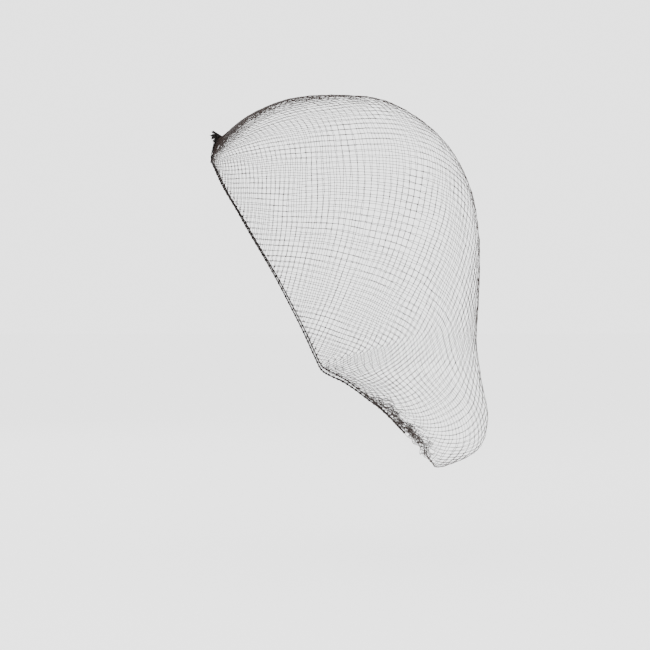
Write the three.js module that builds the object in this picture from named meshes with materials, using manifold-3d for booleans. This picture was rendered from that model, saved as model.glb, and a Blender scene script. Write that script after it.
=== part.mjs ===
// A very fine hairnet in the shape it takes when worn over a low bun. Millimetres, +Z up.
// The forehead side points to -Y, the wearer's left side to +X, and the origin is inside the
// top of the crown, where the net sits on the head.
import * as THREE from 'three';
import { LoftGeometry } from 'three/addons/geometries/LoftGeometry.js';
import { mergeVertices } from 'three/addons/utils/BufferGeometryUtils.js';
import Module from 'manifold-3d';

// Driving dimensions
const wall = 1.0; // the netting with its knots, as one wall
const edgeSetback = 1.45; // from the middle of the elastic to the edge of the wall
const elasticDiameter = 1.1; // elastic thread with the hitches that wrap it
const seamDiameter = 2.3; // drawn seam on the forehead, over its loops
const seamLoops = 6; // loops that show along the seam
const seamLoopDepth = 0.22; // how far each loop stands out from the seam
const seamEnd = 0.55; // thickness of its tucked ends, as a share
const knotDiameter = 3.2; // knot at the top of the seam
const tuftLocks = 8; // thread ends that fan out of the knot
const tuftLength = 5.4; // from the knot's middle to a thread end
const tuftShorter = 0.86; // every second thread end is this share as long
const tuftBend = 0.3; // how far a thread end bows forwards
const tuftLockDiameter = 1.0; // a bunch of thread ends at its root
const tuftLockTip = 0.55; // its tip, as a share of its root
const pleatDepth = 0.5; // pleats beside the seam
const pleatCount = 3; // pleats on each side
const pleatReach = 0.55; // how fast they run out, in sections
const ruffleDepth = 2.0; // crumpled netting under the bun
const ruffleCount = 3; // folds from the bun to the nape
const ruffleDrawnIn = 0.5; // share of their depth by which they are drawn in
const ruffleUnevenness = 0.2; // how much shallower they get between the middle and the sides

// The seam's line from the edge up to its knot, the knot's place, as (y, z), and how far each
// bunch of thread ends leans out from straight forwards, in degrees
const seamRoute = [[-92.6, -47.6], [-91.7, -41.5], [-90.6, -36.2], [-88.5, -30.9]];
const knotPlace = [-87.6, -28.4];
const tuftSpreads = [24, 16, 40, 34];

// Where along a section, from the centre line to the edge, its three half-widths are given
const nearAt = 0.12;
const middleAt = 0.38;
const farAt = 0.7;

// The sections of the net, from the seam on the forehead over the crown and the bun to the
// nape. A section crosses the centre line at (profileY, profileZ) and meets the elastic at
// (hemX, hemY, hemZ); near, middle and far are its half-widths in between.
const columns = ['name', 'profileY', 'profileZ', 'hemX', 'hemY', 'hemZ', 'near', 'middle', 'far'];
const sections = [
  ['seam', -86.2, -29.7, 1.7, -92.3, -46.5, 1.4, 1.7, 1.7],
  ['hairline', -66.0, -13.5, 26.5, -89.2, -53.0, 13.5, 21.5, 25.8],
  ['forehead', -36.0, -1.5, 44.0, -82.0, -68.0, 29.0, 42.5, 47.5],
  ['fore crown', 0.0, 1.0, 55.0, -71.5, -85.7, 42.0, 61.0, 66.5],
  ['crown', 30.0, -2.2, 61.5, -62.2, -102.1, 48.5, 70.0, 74.5],
  ['back crown', 58.0, -16.5, 66.0, -53.0, -117.6, 52.5, 75.5, 79.0],
  ['upper back', 80.0, -38.0, 70.0, -44.6, -132.2, 54.0, 77.5, 81.0],
  ['back', 94.5, -67.0, 73.0, -34.2, -152.2, 54.0, 77.0, 81.5],
  ['mid back', 100.5, -102.0, 75.0, -25.9, -168.7, 51.0, 74.0, 80.0],
  ['lower back', 100.3, -145.0, 75.5, -17.7, -186.6, 43.5, 67.0, 76.5],
  ['ear corner', 98.7, -176.0, 74.0, -13.1, -195.5, 33.0, 55.0, 70.0],
  ['behind ear', 102.5, -205.0, 71.0, -8.0, -199.0, 27.0, 43.0, 59.5],
  ['bun back', 107.0, -231.0, 65.0, 1.5, -203.7, 26.5, 38.0, 52.5],
  ['bun foot', 101.0, -253.0, 59.0, 10.0, -209.3, 25.5, 36.0, 48.0],
  ['bun underside', 83.0, -264.0, 51.0, 18.5, -216.0, 22.0, 31.0, 41.5],
  ['bun tip', 67.5, -267.0, 40.0, 27.6, -223.0, 16.0, 24.5, 33.0],
  ['nape', 59.0, -253.5, 26.0, 37.8, -232.8, 10.0, 16.0, 21.0],
  ['nape middle', 48.4, -244.4, 6.0, 46.0, -241.8, 2.5, 4.2, 5.4],
].map((row) => Object.fromEntries(columns.map((column, i) => [column, row[i]])));
const lastSection = sections.length - 1;
const ruffleStart = sections.findIndex((row) => row.name === 'bun tip') - 0.4;

// How finely the solids are faceted
const halfSectionSteps = 14;
const sideStep = 0.02; // between the sections that give the wall its direction
const stepsBetweenSections = sections.slice(1).map((row) => {
  if (row.name === 'hairline') return 6;
  if (row.name === 'nape' || row.name === 'nape middle') return 7;
  return 3;
});
const edgeSteps = 120;
const threadSides = 8;
const lockSides = 6;
const lockSteps = 4;
const stepsPerLoop = 6;
const knotDetail = 2;
const mergeDistance = 1e-3;

const wasm = await Module();
wasm.setup();

const smoothLine = (points) => new THREE.CatmullRomCurve3(points, false, 'centripetal');
const profileLine = smoothLine(sections.map((row) => new THREE.Vector3(0, row.profileY, row.profileZ)));
const hemLine = smoothLine(sections.map((row) => new THREE.Vector3(row.hemX, row.hemY, row.hemZ)));
const halfWidths = smoothLine(sections.map((row) => new THREE.Vector3(row.near, row.middle, row.far)));

// The line of the net across the head at a place along the sections, from edge to edge
function acrossAt(place) {
  const along = place / lastSection;
  const centre = profileLine.getPoint(along);
  const hem = hemLine.getPoint(along);
  const width = halfWidths.getPoint(along);
  const half = [
    [nearAt, width.x],
    [middleAt, width.y],
    [farAt, width.z],
    [1, hem.x],
  ].map(([share, x]) => centre.clone().lerp(hem, share).setX(x));
  const mirrored = half.map((point) => new THREE.Vector3(-point.x, point.y, point.z)).reverse();
  return smoothLine([...mirrored, centre, ...half]);
}

// Pleats fan out from the seam, and the netting under the bun is drawn up into ruffles.
function foldHeight(place, share) {
  const fromCentre = Math.abs(2 * share - 1);
  const pleat = pleatDepth * Math.exp(-place / pleatReach) * Math.cos(2 * Math.PI * pleatCount * fromCentre);
  const ruffled = Math.max(0, (place - ruffleStart) / (lastSection - ruffleStart));
  const uneven = 1 - ruffleUnevenness * (1 - Math.cos(4 * Math.PI * fromCentre));
  const swell = Math.sin(Math.PI * ruffled) * (1 - fromCentre ** 4) * uneven;
  return pleat + ruffleDepth * swell * (Math.sin(2 * Math.PI * ruffleCount * ruffled) - ruffleDrawnIn);
}

// The outer and inner points of one section of the wall
function wallAt(place) {
  const before = acrossAt(Math.max(0, place - sideStep));
  const here = acrossAt(place);
  const after = acrossAt(Math.min(lastSection, place + sideStep));
  const steps = 2 * halfSectionSteps;
  const edgeAngle = here.getTangentAt(1).angleTo(hemLine.getTangent(place / lastSection));
  const setback = edgeSetback / Math.sin(edgeAngle) / here.getLength();
  const outer = [];
  const inner = [];
  for (let i = 0; i <= steps; i++) {
    const share = THREE.MathUtils.lerp(setback, 1 - setback, i / steps);
    const across = here.getTangentAt(share);
    const along = after.getPointAt(share).sub(before.getPointAt(share));
    const normal = across.cross(along).normalize();
    const point = here.getPointAt(share).addScaledVector(normal, foldHeight(place, share));
    outer.push(point);
    inner.push(point.clone().addScaledVector(normal, -wall));
  }
  return { outer, inner };
}

const places = [0];
stepsBetweenSections.forEach((steps, row) => {
  for (let i = 1; i <= steps; i++) places.push(row + i / steps);
});
const walls = places.map(wallAt);

function netBag() {
  const rings = walls.map(({ outer, inner }) => [...outer, ...inner.slice().reverse()]);
  return new LoftGeometry(rings, { closed: true, capStart: true, capEnd: true });
}

// The elastic runs along the net's edge, from one side of the seam round the nape to the other.
function edgeElastic() {
  const route = places.map((place) => hemLine.getPoint(place / lastSection));
  const right = route.map((point) => new THREE.Vector3(-point.x, point.y, point.z)).reverse();
  const radius = elasticDiameter / 2;
  const circle = new THREE.EllipseCurve(0, 0, radius, radius).getPoints(threadSides);
  return new THREE.ExtrudeGeometry(new THREE.Shape(circle.slice(1)), {
    steps: edgeSteps,
    bevelEnabled: false,
    extrudePath: smoothLine([...route, ...right]),
  });
}

// A closed solid to join with others, moved to its place once its shared vertices are merged
function solidOf(geometry, place = new THREE.Vector3()) {
  const bare = new THREE.BufferGeometry();
  bare.setAttribute('position', geometry.getAttribute('position'));
  bare.setIndex(geometry.getIndex());
  const merged = mergeVertices(bare, mergeDistance).translate(place.x, place.y, place.z);
  const vertProperties = merged.getAttribute('position').array;
  const triVerts = new Uint32Array(merged.getIndex().array);
  return new wasm.Manifold(new wasm.Mesh({ numProp: 3, vertProperties, triVerts }));
}

function geometryOf(solid) {
  const mesh = solid.getMesh();
  const geometry = new THREE.BufferGeometry();
  geometry.setAttribute('position', new THREE.BufferAttribute(mesh.vertProperties, 3));
  geometry.setIndex(new THREE.BufferAttribute(mesh.triVerts, 1));
  geometry.computeVertexNormals();
  return geometry;
}

// A closed round form along a line, with a radius at each step
function threadForm(line, steps, radiusAt, sides) {
  const frames = line.computeFrenetFrames(steps, false);
  const rings = [];
  for (let i = 0; i <= steps; i++) {
    const centre = line.getPointAt(i / steps);
    const radius = radiusAt(i / steps);
    const ring = [];
    for (let k = 0; k < sides; k++) {
      const turn = (2 * Math.PI * k) / sides;
      ring.push(
        centre
          .clone()
          .addScaledVector(frames.normals[i], radius * Math.cos(turn))
          .addScaledVector(frames.binormals[i], radius * Math.sin(turn)),
      );
    }
    rings.push(ring);
  }
  return new LoftGeometry(rings, { closed: true, capStart: true, capEnd: true });
}

// The seam is a drawn thread with bunched loops along it. It fills the slit between the two
// sides of the net on the forehead and stands a little proud of them.
function seamGather() {
  const line = smoothLine(seamRoute.map(([y, z]) => new THREE.Vector3(0, y, z)));
  const radiusAt = (share) => {
    const loops = seamLoopDepth * Math.cos(2 * Math.PI * seamLoops * share);
    const tuckedEnds = Math.min(1, seamEnd + (1 - seamEnd) * seamLoops * Math.min(share, 1 - share));
    return (seamDiameter / 2 + loops) * tuckedEnds;
  };
  return threadForm(line, stepsPerLoop * seamLoops, radiusAt, threadSides);
}

// The seam's thread ends are tied in a round knot and fan out of it, forwards.
function threadTuft() {
  const knot = new THREE.Vector3(0, ...knotPlace);
  let tuft = solidOf(new THREE.IcosahedronGeometry(knotDiameter / 2, knotDetail), knot);
  for (let i = 0; i < tuftLocks; i++) {
    const turn = (2 * Math.PI * (i + 0.5)) / tuftLocks;
    const spread = THREE.MathUtils.degToRad(tuftSpreads[i % tuftSpreads.length]);
    const out = new THREE.Vector3(
      Math.sin(spread) * Math.cos(turn),
      -Math.cos(spread),
      Math.sin(spread) * Math.sin(turn),
    );
    const length = tuftLength * (i % 2 ? tuftShorter : 1);
    const middle = knot.clone().addScaledVector(out, length / 2);
    middle.y -= tuftBend;
    const tip = knot.clone().addScaledVector(out, length);
    const line = smoothLine([knot, middle, tip]);
    const radiusAt = (share) => (tuftLockDiameter / 2) * THREE.MathUtils.lerp(1, tuftLockTip, share);
    tuft = tuft.add(solidOf(threadForm(line, lockSteps, radiusAt, lockSides)));
  }
  return geometryOf(tuft);
}

const part = new THREE.Group();

function addPiece(name, geometry, color, roughness) {
  const mesh = new THREE.Mesh(geometry, new THREE.MeshStandardMaterial({ color, roughness, metalness: 0 }));
  mesh.name = name;
  part.add(mesh);
}

addPiece('net_bag', netBag(), 0x1d1310, 0.55);
addPiece('edge_elastic', edgeElastic(), 0x140d0b, 0.7);
addPiece('seam_gather', seamGather(), 0x0f0a09, 0.65);
addPiece('thread_tuft', threadTuft(), 0x0b0807, 0.6);

export default part;
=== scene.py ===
import math

import bpy
import numpy as np
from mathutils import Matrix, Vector


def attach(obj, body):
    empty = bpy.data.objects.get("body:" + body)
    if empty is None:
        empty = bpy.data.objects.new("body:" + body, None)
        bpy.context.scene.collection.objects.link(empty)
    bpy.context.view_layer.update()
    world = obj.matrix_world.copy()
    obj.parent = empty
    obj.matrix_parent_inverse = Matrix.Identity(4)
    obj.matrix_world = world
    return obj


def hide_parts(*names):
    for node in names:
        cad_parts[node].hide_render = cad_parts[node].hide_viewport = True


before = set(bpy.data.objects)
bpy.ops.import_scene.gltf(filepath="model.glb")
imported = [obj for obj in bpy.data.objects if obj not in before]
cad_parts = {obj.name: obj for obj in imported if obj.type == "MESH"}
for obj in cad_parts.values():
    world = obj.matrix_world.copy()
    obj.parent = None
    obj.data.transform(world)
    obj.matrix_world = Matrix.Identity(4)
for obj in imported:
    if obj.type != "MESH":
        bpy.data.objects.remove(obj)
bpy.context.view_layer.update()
for item in bpy.context.selected_objects:
    item.select_set(False)


# The netting
# The real bag is one piece of netting, knotted by hand or machine from a single fine nylon
# strand. Its diamond meshes run from the seam at the front to the low end of the edge, drawn
# close where they are gathered, and hitched along both sides to the elastic thread.
MM = 0.001
MESH_LONG = 6.3 * MM  # a mesh's diagonal from front to back
MESHES_ACROSS = 60  # from one edge to the other
STRAND = 0.31 * MM
WALL = 1.0 * MM
PLEAT_DEPTH, PLEAT_COUNT, PLEAT_REACH = 0.5 * MM, 3, 0.55
RUFFLE_DEPTH, RUFFLE_COUNT, RUFFLE_DRAWN_IN, RUFFLE_UNEVENNESS = 2.0 * MM, 3, 0.5, 0.2
RUFFLE_START = 14.6
NEAR_AT, MIDDLE_AT, FAR_AT = 0.12, 0.38, 0.7

# A section crosses the centre line at (profile_y, profile_z) and meets the elastic at the hem
# point; near, middle and far are its half-widths in between. Millimetres.
SECTION_COLUMNS = ("name", "profile_y", "profile_z", "hem_x", "hem_y", "hem_z", "near", "middle", "far")
SECTIONS = [
    ("seam", -86.2, -29.7, 1.7, -92.3, -46.5, 1.4, 1.7, 1.7),
    ("hairline", -66.0, -13.5, 26.5, -89.2, -53.0, 13.5, 21.5, 25.8),
    ("forehead", -36.0, -1.5, 44.0, -82.0, -68.0, 29.0, 42.5, 47.5),
    ("fore crown", 0.0, 1.0, 55.0, -71.5, -85.7, 42.0, 61.0, 66.5),
    ("crown", 30.0, -2.2, 61.5, -62.2, -102.1, 48.5, 70.0, 74.5),
    ("back crown", 58.0, -16.5, 66.0, -53.0, -117.6, 52.5, 75.5, 79.0),
    ("upper back", 80.0, -38.0, 70.0, -44.6, -132.2, 54.0, 77.5, 81.0),
    ("back", 94.5, -67.0, 73.0, -34.2, -152.2, 54.0, 77.0, 81.5),
    ("mid back", 100.5, -102.0, 75.0, -25.9, -168.7, 51.0, 74.0, 80.0),
    ("lower back", 100.3, -145.0, 75.5, -17.7, -186.6, 43.5, 67.0, 76.5),
    ("ear corner", 98.7, -176.0, 74.0, -13.1, -195.5, 33.0, 55.0, 70.0),
    ("behind ear", 102.5, -205.0, 71.0, -8.0, -199.0, 27.0, 43.0, 59.5),
    ("bun back", 107.0, -231.0, 65.0, 1.5, -203.7, 26.5, 38.0, 52.5),
    ("bun foot", 101.0, -253.0, 59.0, 10.0, -209.3, 25.5, 36.0, 48.0),
    ("bun underside", 83.0, -264.0, 51.0, 18.5, -216.0, 22.0, 31.0, 41.5),
    ("bun tip", 67.5, -267.0, 40.0, 27.6, -223.0, 16.0, 24.5, 33.0),
    ("nape", 59.0, -253.5, 26.0, 37.8, -232.8, 10.0, 16.0, 21.0),
    ("nape middle", 48.4, -244.4, 6.0, 46.0, -241.8, 2.5, 4.2, 5.4),
]
LAST_SECTION = len(SECTIONS) - 1


def column(name):
    at = SECTION_COLUMNS.index(name)
    return np.array([row[at] for row in SECTIONS])


def smooth_line(points, share):
    """Points on a centripetal curve. points is (..., n, 3); share, from 0 to 1, is one list for all."""
    points = np.asarray(points, float)
    first = 2 * points[..., :1, :] - points[..., 1:2, :]
    last = 2 * points[..., -1:, :] - points[..., -2:-1, :]
    ends = np.concatenate([first, points, last], axis=-2)
    steps = np.linalg.norm(np.diff(ends, axis=-2), axis=-1, keepdims=True) ** 0.5
    place = np.asarray(share, float) * (points.shape[-2] - 1)
    span = np.clip(place.astype(int), 0, points.shape[-2] - 2)
    u = (place - span)[:, None]
    p0, p1, p2, p3 = (ends[..., span + k, :] for k in range(4))
    d0, d1, d2 = (steps[..., span + k, :] for k in range(3))
    leaving = ((p1 - p0) / d0 - (p2 - p0) / (d0 + d1) + (p2 - p1) / d1) * d1
    arriving = ((p2 - p1) / d1 - (p3 - p1) / (d1 + d2) + (p3 - p2) / d2) * d1
    square = 3 * (p2 - p1) - 2 * leaving - arriving
    cube = 2 * (p1 - p2) + leaving + arriving
    return p1 + u * (leaving + u * (square + u * cube))


def lengths_along(line):
    """The length from the start of a line of points to each of them, on the next to last axis."""
    steps = np.linalg.norm(np.diff(line, axis=-2), axis=-1)
    return np.concatenate([np.zeros_like(steps[..., :1]), np.cumsum(steps, axis=-1)], axis=-1)


def unit(directions):
    return directions / np.linalg.norm(directions, axis=-1, keepdims=True)


# The worn form as a fine grid: a row for each place along the sections, each row with points
# at even lengths from the right edge to the left one
ROW_STEPS, SHARE_STEPS = 340, 200
grid_places = np.linspace(0, LAST_SECTION, ROW_STEPS + 1)
grid_shares = np.linspace(0, 1, SHARE_STEPS + 1)
along = grid_places / LAST_SECTION
on_centre = np.zeros(LAST_SECTION + 1)
profile = smooth_line(np.stack([on_centre, column("profile_y"), column("profile_z")], -1) * MM, along)
hem = smooth_line(np.stack([column("hem_x"), column("hem_y"), column("hem_z")], -1) * MM, along)
widths = smooth_line(np.stack([column("near"), column("middle"), column("far")], -1) * MM, along)
half = []
for part_way, width in zip((NEAR_AT, MIDDLE_AT, FAR_AT, 1), (*widths.T, hem[:, 0])):
    point = profile + (hem - profile) * part_way
    point[:, 0] = width
    half.append(point)
other_half = [point * (-1, 1, 1) for point in reversed(half)]
rows = smooth_line(np.stack([*other_half, profile, *half], axis=1), grid_shares)
row_lengths = lengths_along(rows)
grid = np.empty_like(rows)
for row, line, lengths in zip(grid, rows, row_lengths):
    for axis in range(3):
        row[:, axis] = np.interp(grid_shares * lengths[-1], lengths, line[:, axis])
outward = unit(np.cross(np.gradient(grid, axis=1), np.gradient(grid, axis=0)))


def fold_height(place, share):
    """How far the pleats by the seam and the ruffles under the pouch stand out."""
    from_centre = np.abs(2 * share - 1)
    pleat = PLEAT_DEPTH * np.exp(-place / PLEAT_REACH) * np.cos(2 * np.pi * PLEAT_COUNT * from_centre)
    ruffled = np.maximum(0, (place - RUFFLE_START) / (LAST_SECTION - RUFFLE_START))
    uneven = 1 - RUFFLE_UNEVENNESS * (1 - np.cos(4 * np.pi * from_centre))
    swell = np.sin(np.pi * ruffled) * (1 - from_centre**4) * uneven
    return pleat + RUFFLE_DEPTH * swell * (np.sin(2 * np.pi * RUFFLE_COUNT * ruffled) - RUFFLE_DRAWN_IN)


def on_net(place, share):
    """Points in the middle of the netting's wall, and its outward directions there."""
    place = np.clip(place, 0, LAST_SECTION)
    share = np.clip(share, 0, 1)
    row = place / LAST_SECTION * ROW_STEPS
    step = share * SHARE_STEPS
    last_row = np.minimum(row.astype(int), ROW_STEPS - 1)
    last_step = np.minimum(step.astype(int), SHARE_STEPS - 1)
    past_row, past_step = (row - last_row)[..., None], (step - last_step)[..., None]

    def between(table):
        here, after = (
            table[at, last_step] * (1 - past_step) + table[at, last_step + 1] * past_step
            for at in (last_row, last_row + 1)
        )
        return here * (1 - past_row) + after * past_row

    out = unit(between(outward))
    return between(grid) + out * (fold_height(place, share) - WALL / 2)[..., None], out


# The knots. Rows of meshes are even between the length of the profile and that of the edge.
# Columns stand EDGE_SPREAD times as far apart at the edge as on average: wide by the seam, where
# they are drawn together, and close further down. Towards the low end the rows have fewer
# meshes: the full half-width would be LOW_HALF, and the columns end at the edge one by one.
SPREAD_PLACES = (0, 1.5, 3, 4, 8.5, 10)
EDGE_SPREAD = (1.3, 1.25, 1.0, 0.83, 0.8, 1.0)
LOW_PLACES, LOW_HALF = (9, 14.5), (150 * MM, 200 * MM)
ROUNDING = 1e-4  # a column that is past the edge by less than this share is at it
row_length = (lengths_along(profile) + lengths_along(hem)) / 2
mesh_rows = 2 * round(row_length[-1] / MESH_LONG)
mesh_columns = 2 * MESHES_ACROSS
row_number, column_number = np.meshgrid(np.arange(mesh_rows + 1), np.arange(mesh_columns + 1), indexing="ij")
knot_place = np.interp(row_number / mesh_rows * row_length[-1], row_length, grid_places)
half_length = np.interp(knot_place, grid_places, row_lengths[:, -1]) / 2
from_edge = 1 - np.abs(2 * column_number / mesh_columns - 1)
spread = np.interp(knot_place, SPREAD_PLACES, EDGE_SPREAD)
low_half = np.interp(knot_place, LOW_PLACES, LOW_HALF)
full_half = np.where(knot_place > LOW_PLACES[0], np.maximum(half_length, low_half), half_length)
from_centre = (1 - spread * from_edge - (1 - spread) * from_edge**2) * full_half
beyond = from_centre > half_length * (1 + ROUNDING)
edge = (from_edge == 0) | beyond
half_share = np.minimum(from_centre / half_length, 1) / 2
knot_share = np.where(2 * column_number < mesh_columns, 0.5 - half_share, 0.5 + half_share)

# Real netting is never quite even: the meshes drift slowly, and each knot a little. A drift has
# its radians to a row and to a column, and the most that it comes to in places or in shares.
DRIFT_WAVES = 4
PLACE_DRIFT, SHARE_DRIFT = (0.075, 0.09, 0.055), (0.07, 0.1, 0.0045)
dice = np.random.default_rng(7)
inside = np.sqrt(np.sin(np.pi * row_number / mesh_rows) * np.sin(np.pi * column_number / mesh_columns))


def drift(waves, row_turn, column_turn, most):
    row_start, column_start = dice.uniform(0, 2 * np.pi, 2)
    row_wave = np.sin(row_number * row_turn * waves + row_start)
    column_wave = np.sin(column_number * column_turn * waves + column_start)
    return most / waves * inside * (row_wave * column_wave)


for waves in range(1, DRIFT_WAVES + 1):
    knot_place = knot_place + drift(waves, *PLACE_DRIFT)
    knot_share = knot_share + drift(waves, *SHARE_DRIFT)
knot_share = np.where(edge, np.round(knot_share), knot_share)
knots, knot_out = on_net(knot_place, knot_share)

# In front of the pouch the netting hangs slack, in a band along the low end of the edge, which
# starts at these places on the hem and on the profile. It sinks in there and crumples.
SLACK_HEM, SLACK_PROFILE = 15.4, 16.1
SLACK_BAND, SLACK_DEPTH = 9 * MM, 2.8 * MM
CRUMPLES, CRUMPLE = 6, 0.9 * MM
CRUMPLE_ROW_TURN, CRUMPLE_COLUMN_TURN = (0.8, 1.6), (-1.3, 1.3)  # radians from a knot to the next
EDGE_BAND = 4 * MM
STRAY, EDGE_STRAY, SLACK_STRAY = 0.16, 0.3, 0.5  # how far a knot lies from its place, in mm
low_line = np.vstack([hem[grid_places > SLACK_HEM], profile[grid_places > SLACK_PROFILE]])[:, 1:]
low_distance = np.linalg.norm(knots[..., None, 1:] - low_line, axis=-1).min(axis=-1)
slack = np.exp(-((low_distance / SLACK_BAND) ** 4)) * ~edge
by_edge = np.exp(-(half_length - from_centre) / EDGE_BAND) * ~edge
stray = (STRAY * inside + EDGE_STRAY * by_edge + SLACK_STRAY * slack) * MM
knots += dice.normal(0, 1, knots.shape) * stray[..., None] - knot_out * SLACK_DEPTH * slack[..., None]
for crumple in range(CRUMPLES):
    turn = row_number * dice.uniform(*CRUMPLE_ROW_TURN) + column_number * dice.uniform(*CRUMPLE_COLUMN_TURN)
    wave = np.sin(turn + dice.uniform(0, 2 * np.pi)) * slack
    knots += wave[..., None] * dice.normal(0, CRUMPLE, 3)

# The edge's knots sit on the elastic, and the first row is drawn up on the seam's thread,
# which runs through these points in y and z, in millimetres
SEAM_ROUTE = [(-92.6, -47.6), (-91.7, -41.5), (-90.6, -36.2), (-88.5, -30.9)]
SEAM_ASIDE = 0.5  # the first row's distance to each side of that thread, in millimetres
knots[edge] += knot_out[edge] * WALL / 2
for number in range(mesh_columns + 1):
    side = np.sign(number - mesh_columns / 2)
    beside_seam = [(side * SEAM_ASIDE * MM, y * MM, z * MM) for y, z in SEAM_ROUTE]
    knots[0, number] = smooth_line(beside_seam, [from_edge[0, number]])[0]


def thread_mesh(name, lines, thickness, sides=4):
    """One mesh of closed round threads, each along a line of points."""
    curve = bpy.data.curves.new(name, "CURVE")
    curve.dimensions = "3D"
    curve.bevel_depth = thickness / 2
    curve.bevel_resolution = (sides - 4) // 2
    curve.use_fill_caps = True
    for line in lines:
        spline = curve.splines.new("POLY")
        spline.points.add(len(line) - 1)
        spline.points.foreach_set("co", np.hstack([line, np.ones((len(line), 1))]).ravel())
    piece = bpy.data.objects.new(name, curve)
    bpy.context.scene.collection.objects.link(piece)
    bpy.ops.object.select_all(action="DESELECT")
    piece.select_set(True)
    bpy.context.view_layer.objects.active = piece
    bpy.ops.object.convert(target="MESH")
    bpy.ops.object.shade_smooth()
    piece.select_set(False)
    return piece


def join(name, *pieces):
    """The pieces as one object of that name."""
    bpy.ops.object.select_all(action="DESELECT")
    for piece in pieces:
        piece.select_set(True)
    bpy.context.view_layer.objects.active = pieces[0]
    bpy.ops.object.join()
    pieces[0].select_set(False)
    pieces[0].name = name
    return pieces[0]


# A knot is a small bead, longer from front to back than across, a little flat, and drawn
# smaller where the netting is slack
KNOT = 0.68 * MM
KNOT_LONG, KNOT_FLAT, KNOT_SLACK = 1.3, 0.9, 0.45


def knot_mesh(name, centres, longways, outways, sizes):
    """One mesh of small round knots, each a little longer along its own direction."""
    bpy.ops.object.select_all(action="DESELECT")
    bpy.ops.mesh.primitive_ico_sphere_add(subdivisions=1, radius=0.5)
    model = bpy.context.object
    corners = np.array([corner.co for corner in model.data.vertices])
    faces = np.array([face.vertices for face in model.data.polygons])
    bpy.data.objects.remove(model)
    sideways = unit(np.cross(longways, outways))
    axes = np.stack([longways * KNOT_LONG, sideways, np.cross(sideways, longways) * KNOT_FLAT], axis=1)
    axes *= sizes[:, None, None]
    placed = centres[:, None, :] + np.einsum("ca,nak->nck", corners, axes)
    first_corner = np.arange(len(centres))[:, None, None] * len(corners)
    mesh = bpy.data.meshes.new(name)
    mesh.from_pydata(placed.reshape(-1, 3), [], (first_corner + faces).reshape(-1, 3))
    piece = bpy.data.objects.new(name, mesh)
    bpy.context.scene.collection.objects.link(piece)
    for face in mesh.polygons:
        face.use_smooth = True
    return piece


# How a strand lies between two knots, in millimetres: bowed, and more so where it is slack
BOW, SLACK_BOW, SLACK_CURL = 0.09, 0.4, 0.35
TAUT_STEPS, LOOSE_STEPS, LOOSE_FROM = 2, 8, 0.15


def strand_line(row_list, column_list):
    """One strand through its knots. It bows a little between them, and curls where it is slack."""
    through = knots[row_list, column_list]
    slackness = slack[row_list, column_list]
    points = [through[:1]]
    for start, end, loose in zip(through, through[1:], (slackness + np.roll(slackness, -1)) / 2):
        share = np.linspace(0, 1, (LOOSE_STEPS if loose > LOOSE_FROM else TAUT_STEPS) + 1)[1:, None]
        bow = dice.normal(0, 1, 3) * (BOW + SLACK_BOW * loose) * MM
        curl = dice.normal(0, 1, 3) * SLACK_CURL * loose * MM
        wave = bow * np.sin(np.pi * share) + curl * np.sin(2 * np.pi * share)
        points.append(start + (end - start) * share + wave)
    return np.vstack(points)


def strands_between(first_column, last_column):
    """The lines of all strands in a part of the netting, those of one slope before the others."""
    lines = []
    for slope in (1, -1):
        for start in range(-mesh_rows, mesh_columns + mesh_rows + 1, 2):
            row_list = np.arange(mesh_rows + 1)
            column_list = start + slope * row_list
            here = (column_list >= first_column) & (column_list <= last_column)
            row_list, column_list = row_list[here], column_list[here]
            drawn = np.flatnonzero(~beyond[row_list, column_list])
            if len(drawn) > 1:
                run = slice(max(drawn[0] - 1, 0), drawn[-1] + 2)
                lines.append(strand_line(row_list[run], column_list[run]))
    return lines


# The knots next to the elastic have small slack loops, from this row down to this place
FIRST_LOOPED_ROW, LAST_LOOPED = 3, 9
EDGE_LOOPS, LOOP_POINTS = 2, 10
LOOP_RADIUS = (0.3, 0.6)  # the least and the most, in millimetres


def slack_loop(knot):
    """A small slack turn of the strand out of a knot and back, which lies any way."""
    turn = np.linspace(0, 2 * np.pi, LOOP_POINTS)[:, None]
    out, across = dice.normal(0, 1, (2, 3))
    out, across = unit(out), unit(across)
    return knot + dice.uniform(*LOOP_RADIUS) * MM * (out * (1 - np.cos(turn)) + across * np.sin(turn))


def netting_part(name, first_column, last_column):
    """The strands and knots between two columns, as one piece."""
    lines = strands_between(first_column, last_column)
    tied = ((row_number + column_number) % 2 == 0) & ~edge & (row_number > 0) & (row_number < mesh_rows)
    tied &= (column_number >= first_column) & (column_number < last_column)
    longways = unit(np.gradient(knots, axis=0)[tied])
    sizes = KNOT * (1 - KNOT_SLACK * slack[tied])
    beads = knot_mesh(name + "_knots", knots[tied], longways, knot_out[tied], sizes)
    for column_by_edge in (1, mesh_columns - 1):
        if first_column < column_by_edge < last_column:
            for row in range(FIRST_LOOPED_ROW, mesh_rows, 2):
                if knot_place[row, column_by_edge] < LAST_LOOPED:
                    lines += [slack_loop(knots[row, column_by_edge]) for loop in range(EDGE_LOOPS)]
    return join(name, thread_mesh(name, lines, STRAND), beads)


quarter, centre_column = mesh_columns // 4, mesh_columns // 2
netting = [
    netting_part("netting_right_side", 0, quarter),
    netting_part("netting_right_crown", quarter, centre_column),
    netting_part("netting_left_crown", centre_column, centre_column + quarter),
    netting_part("netting_left_side", centre_column + quarter, mesh_columns),
]


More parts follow.
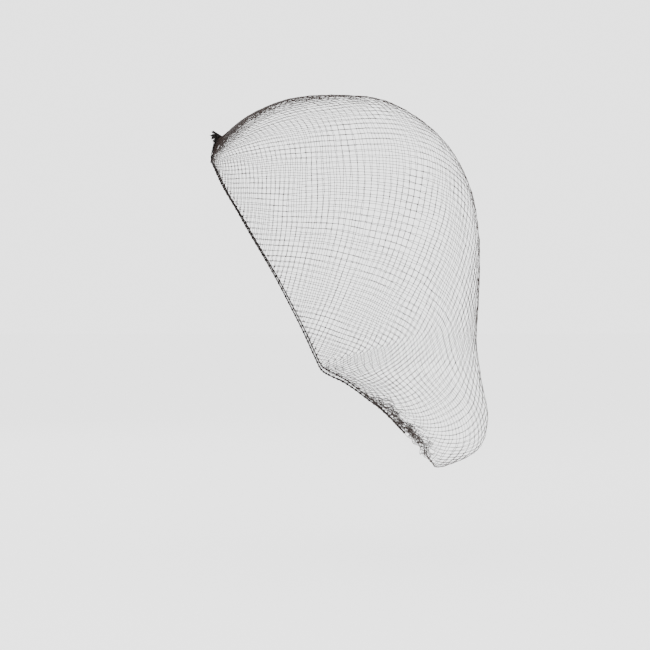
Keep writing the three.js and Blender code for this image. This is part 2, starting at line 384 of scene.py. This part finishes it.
class Socket:
    """A shader value that takes part in Python expressions."""

    def __init__(self, finish, socket):
        self.finish = finish
        self.socket = socket

    def _maths(self, operation, first, second):
        return self.finish.node("ShaderNodeMath", {"operation": operation}, {0: first, 1: second})

    def __add__(self, other):
        return self._maths("ADD", self, other)

    def __sub__(self, other):
        return self._maths("SUBTRACT", self, other)

    def __mul__(self, other):
        return self._maths("MULTIPLY", self, other)

    def __rsub__(self, other):
        return self._maths("SUBTRACT", other, self)

    __radd__ = __add__
    __rmul__ = __mul__


class Finish:
    """A material and its nodes."""

    def __init__(self, name):
        self.material = bpy.data.materials.new(name)
        self.material.use_nodes = True
        self.nodes = self.material.node_tree.nodes
        self.links = self.material.node_tree.links
        self.shader = self.nodes["Principled BSDF"]

    def put(self, socket, value):
        if isinstance(value, Socket):
            self.links.new(value.socket, socket)
        else:
            socket.default_value = value

    def node(self, kind, settings, values, output=0):
        made = self.nodes.new(kind)
        for name, value in settings.items():
            setattr(made, name, value)
        for name, value in values.items():
            self.put(made.inputs[name], value)
        return Socket(self, made.outputs[output])

    def noise(self, where, scale, detail=2.0):
        return self.node("ShaderNodeTexNoise", {}, {"Vector": where, "Scale": scale, "Detail": detail})

    def blend(self, share, first, second):
        """A mix of two colours. The Mix node's sockets for colours go by number."""
        values = {0: share, 6: (*first, 1.0), 7: (*second, 1.0)}
        return self.node("ShaderNodeMix", {"data_type": "RGBA"}, values, output=2)

    def surface(self, **values):
        for name, value in values.items():
            self.put(self.shader.inputs[name.replace("_", " ")], value)


PATCHES = 55.0  # the colour's patches to a metre
FIBRE_BUMP = 0.1 * MM
ROUGHNESS_RANGE = 0.2


def thread_finish(name, dark, light, fibre, roughness, sheen):
    """Spun or twisted thread: two close browns in soft patches, with fine fibres in the gloss."""
    finish = Finish(name)
    where = finish.node("ShaderNodeTexCoord", {}, {}, "Object")
    patches = finish.noise(where, PATCHES)
    fibres = finish.noise(where, fibre, detail=3.0)
    colour = finish.blend(patches * 0.5 + fibres * 0.5, dark, light)
    bump = finish.node("ShaderNodeBump", {}, {"Height": fibres, "Strength": 0.25, "Distance": FIBRE_BUMP})
    uneven_roughness = roughness + (fibres - 0.5) * ROUGHNESS_RANGE
    finish.surface(Base_Color=colour, Roughness=uneven_roughness, Normal=bump)
    finish.surface(Sheen_Weight=sheen, Sheen_Roughness=0.4, Specular_IOR_Level=0.18)
    return finish.material


STRAND_DARK, STRAND_LIGHT = (0.006, 0.0032, 0.0026), (0.022, 0.0105, 0.0075)
strand_finish = thread_finish(
    "dark_nylon_strand", STRAND_DARK, STRAND_LIGHT, fibre=1800.0, roughness=0.5, sheen=0.02
)
for part in netting:
    part.data.materials.append(strand_finish)
    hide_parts("net_bag")
    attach(part, "root")


# The elastic thread
# A fine rubber thread wrapped in two dark plies, so that it shows a bead every 1.2 mm. It runs
# in the net's edge from one side of the seam round the low end to the other, and each mesh of
# the edge is hitched round it.
PLY = 0.74 * MM
PLY_ASIDE = 0.3  # from the elastic's middle to a ply's, in ply thicknesses
PLY_PITCH = 2.4 * MM
PLY_STEPS = 9  # points to a turn
HITCH_RADIUS = 0.76  # to the inside of a hitch, in ply thicknesses
HITCH_TURNS, HITCH_STEPS = 2.5, 8
HITCH_PITCH = 1.1  # in strand thicknesses
CROSSWAYS = (0.31, 0.92, 0.24)  # a direction that the elastic never takes
ELASTIC_DARK, ELASTIC_LIGHT = (0.0025, 0.0015, 0.0012), (0.008, 0.0042, 0.0034)

edge_line = np.vstack([hem, (hem * (-1, 1, 1))[::-1]])
edge_lengths = lengths_along(edge_line)
elastic_length = edge_lengths[-1]


def edge_point(length):
    return np.stack([np.interp(length, edge_lengths, edge_line[:, axis]) for axis in range(3)], -1)


def on_elastic(length):
    """Points on the elastic's middle line, and two directions across it."""
    forwards = unit(edge_point(length + MM) - edge_point(length - MM))
    across = unit(np.cross(forwards, CROSSWAYS))
    return edge_point(length), across, np.cross(forwards, across)


def ring(turn, across, upwards):
    """The directions that point out from a line at these turns round it."""
    return across * np.cos(turn)[:, None] + upwards * np.sin(turn)[:, None]


ply_lengths = np.linspace(0, elastic_length, int(elastic_length / PLY_PITCH * PLY_STEPS))
middle, across, upwards = on_elastic(ply_lengths)
plies = []
for ply in range(2):
    turn = 2 * np.pi * ply_lengths / PLY_PITCH + np.pi * ply
    plies.append(middle + ring(turn, across, upwards) * PLY * PLY_ASIDE)
elastic = thread_mesh("elastic_plies", plies, PLY, sides=6)

edge_knots = np.vstack([knots[2::2, 0], knots[2::2, mesh_columns]])
hitch_share = np.linspace(-0.5, 0.5, int(HITCH_TURNS * HITCH_STEPS) + 1)
hitches = []
for knot in edge_knots:
    at = edge_lengths[np.argmin(np.linalg.norm(edge_line - knot, axis=1))]
    middle, across, upwards = on_elastic(at + hitch_share * HITCH_TURNS * STRAND * HITCH_PITCH)
    turn = 2 * np.pi * hitch_share * HITCH_TURNS
    hitches.append(middle + ring(turn, across, upwards) * (PLY * HITCH_RADIUS + STRAND / 2))
elastic = join("elastic", elastic, thread_mesh("elastic_hitches", hitches, STRAND))
elastic_finish = thread_finish(
    "covered_elastic_thread", ELASTIC_DARK, ELASTIC_LIGHT, fibre=2600.0, roughness=0.75, sheen=0.03
)
elastic.data.materials.append(elastic_finish)
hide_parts("edge_elastic")
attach(elastic, "root")


# The drawn seam
# The netting's front end is drawn up on a thread, so its last meshes bunch into small dark
# loops up the middle of the front, from the edge to the knot.
SEAM_THREADS = 20
SEAM_LOOPS, LOOPS_MORE = 6, (-1.5, 2.5)
SEAM_RADIUS = 0.98 * MM
SEAM_THREAD = 0.34 * MM
SEAM_LOOSER = 0.45  # how much wider the loops are at the top end
SEAM_TWIST = (-1.5, 1.5)  # a thread's turns round the seam
LOOP_REACH, LOOP_SWING, LOOP_SIZE = 0.66, 0.3, (0.8, 1.1)  # of the seam's radius
LOOP_LEAN = 0.5 * MM
TUCKED_LOW, TUCKED_HIGH, UNTUCK = 0.8, 0.3, 8  # how far the threads draw in at the seam's ends
SEAM_STEPS = 84
SEWN_DARK, SEWN_LIGHT = (0.002, 0.0015, 0.0013), (0.006, 0.0038, 0.0032)

seam_share = np.linspace(0, 1, SEAM_STEPS)
seam_line = smooth_line([(0, y * MM, z * MM) for y, z in SEAM_ROUTE], seam_share)
forwards = unit(np.gradient(seam_line, axis=0))
sideways = np.broadcast_to((1.0, 0.0, 0.0), forwards.shape)
upwards = np.cross(forwards, sideways)
tuck = np.minimum(1, np.minimum(TUCKED_LOW + UNTUCK * seam_share, TUCKED_HIGH + UNTUCK * (1 - seam_share)))
seam_threads = [seam_line]
for thread in range(SEAM_THREADS):
    loops = SEAM_LOOPS + dice.uniform(*LOOPS_MORE)
    around = 2 * np.pi * (thread / SEAM_THREADS + seam_share * dice.uniform(*SEAM_TWIST))
    swing = 2 * np.pi * loops * seam_share + dice.uniform(0, 2 * np.pi)
    reach = SEAM_RADIUS * (LOOP_REACH + LOOP_SWING * np.cos(swing)) * (1 + SEAM_LOOSER * seam_share)
    reach = reach * dice.uniform(*LOOP_SIZE)
    lean = (LOOP_LEAN * np.sin(swing))[:, None] * forwards
    aside = ring(around, sideways, upwards) * reach[:, None] + lean
    seam_threads.append(seam_line + aside * tuck[:, None])
seam = thread_mesh("seam_loops", seam_threads, SEAM_THREAD, sides=6)
sewn_finish = thread_finish(
    "bunched_black_thread", SEWN_DARK, SEWN_LIGHT, fibre=2200.0, roughness=0.7, sheen=0.03
)
seam.data.materials.append(sewn_finish)
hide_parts("seam_gather")
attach(seam, "root")


# The knot and its tuft
# The seam's thread is tied off in a hard round knot, and its cut ends fan out of it forwards
# in a few stiff bunches, one above the other.
KNOT_PLACE = np.array([0.0, -87.6, -28.4]) * MM
KNOT_DIAMETER = 3.2 * MM
KNOT_THREAD = 0.85 * MM
WRAP_RING, WRAP_SWING, WRAP_HEIGHT = 1.9, 0.95, 1.1  # the knot's proportions
WRAP_POINTS = 73
TUFT_ROOT = KNOT_PLACE + np.array([0.0, 1.8, -0.1]) * MM
TUFT_BUNCHES = 8
TUFT_LOWEST, TUFT_HIGHEST = -38, 31  # degrees up from level
TUFT_ASIDE = (8, -20, 21, -6)  # degrees to the side
TUFT_LENGTH = 7.6 * MM
TUFT_SHORTER = 0.92  # every second bunch
THREADS_TO_A_BUNCH = 16
TUFT_THREAD = 0.32 * MM
END_CUT = (0.9, 1.0)  # an end's length in its bunch's
END_LEAN, END_ROOT, END_BOW = 0.016, 0.2 * MM, 0.1 * MM  # how unevenly the ends lie
END_POINTS = 6

turn = np.linspace(0, 2 * np.pi, WRAP_POINTS)
wrap_radius = WRAP_RING + WRAP_SWING * np.cos(3 * turn)
wraps = np.stack(
    [wrap_radius * np.cos(2 * turn), WRAP_HEIGHT * np.sin(3 * turn), wrap_radius * np.sin(2 * turn)], -1
)
wraps *= (KNOT_DIAMETER - KNOT_THREAD) / 2 / (WRAP_RING + WRAP_SWING)
tuft = thread_mesh("knot_wraps", [KNOT_PLACE + wraps], KNOT_THREAD, sides=8)
end_share = np.linspace(0, 1, END_POINTS)[:, None]
ends = []
for bunch in range(TUFT_BUNCHES):
    rise = math.radians(TUFT_LOWEST + (TUFT_HIGHEST - TUFT_LOWEST) * bunch / (TUFT_BUNCHES - 1))
    aside = math.radians(TUFT_ASIDE[bunch % len(TUFT_ASIDE)])
    lean = np.array([math.sin(aside), -math.cos(aside) * math.cos(rise), math.sin(rise)])
    for end in range(THREADS_TO_A_BUNCH):
        length = TUFT_LENGTH * (TUFT_SHORTER if bunch % 2 else 1) * dice.uniform(*END_CUT)
        own_lean = lean + dice.normal(0, END_LEAN, 3)
        root = dice.normal(0, END_ROOT, 3)
        bow = dice.normal(0, END_BOW, 3) * end_share * (1 - end_share) * 4
        ends.append(TUFT_ROOT + root + own_lean * length * end_share + bow)
tuft = join("thread_end_tuft", tuft, thread_mesh("tuft_ends", ends, TUFT_THREAD, sides=6))
tuft.data.materials.append(sewn_finish)
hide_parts("thread_tuft")
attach(tuft, "root")


# The floor, the light and the camera
# A plain pale floor under soft studio light, seen level from the left as in the photograph,
# 1.6 m away.
FLOOR_Z, FLOOR_SIZE, FLOOR_GREY = -0.33, 80, 0.97
CAMERA_AT = (1.6, -0.0108, -0.1646)
VIEW_ANGLE = math.radians(16.64)
SKY_STRENGTH = 2.7
LAMPS = (("key", (1.4, -1.2, 1.2), 20.0, 1.2), ("fill", (-1.2, -0.9, 0.8), 6.0, 1.5))  # watts, metres
LAMP_AIM = Vector((0, 0, -0.12))

bpy.ops.mesh.primitive_plane_add(size=FLOOR_SIZE, location=(0, 0, FLOOR_Z))
bpy.ops.object.transform_apply(location=True, rotation=False, scale=False)
floor = bpy.context.object
floor.name = "floor"
floor_finish = Finish("pale_floor")
floor_finish.surface(Base_Color=(FLOOR_GREY, FLOOR_GREY, FLOOR_GREY, 1.0), Roughness=0.9)
floor.data.materials.append(floor_finish.material)

world = bpy.data.worlds.new("studio")
bpy.context.scene.world = world
world.use_nodes = True
sky = world.node_tree.nodes["Background"]
sky.inputs["Color"].default_value = (1.0, 1.0, 1.0, 1.0)
sky.inputs["Strength"].default_value = SKY_STRENGTH

for name, place, power, size in LAMPS:
    aim = (LAMP_AIM - Vector(place)).to_track_quat("-Z", "Y").to_euler()
    bpy.ops.object.light_add(type="AREA", location=place, rotation=aim)
    lamp = bpy.context.object
    lamp.name = name
    lamp.data.energy = power
    lamp.data.size = size

bpy.ops.object.camera_add(location=CAMERA_AT, rotation=(math.pi / 2, 0, math.pi / 2))
camera = bpy.context.object
camera.data.sensor_width = 36.0
camera.data.lens = camera.data.sensor_width / 2 / math.tan(VIEW_ANGLE / 2)
camera.data.clip_start = 0.05
camera.data.clip_end = 100.0
bpy.context.scene.camera = camera
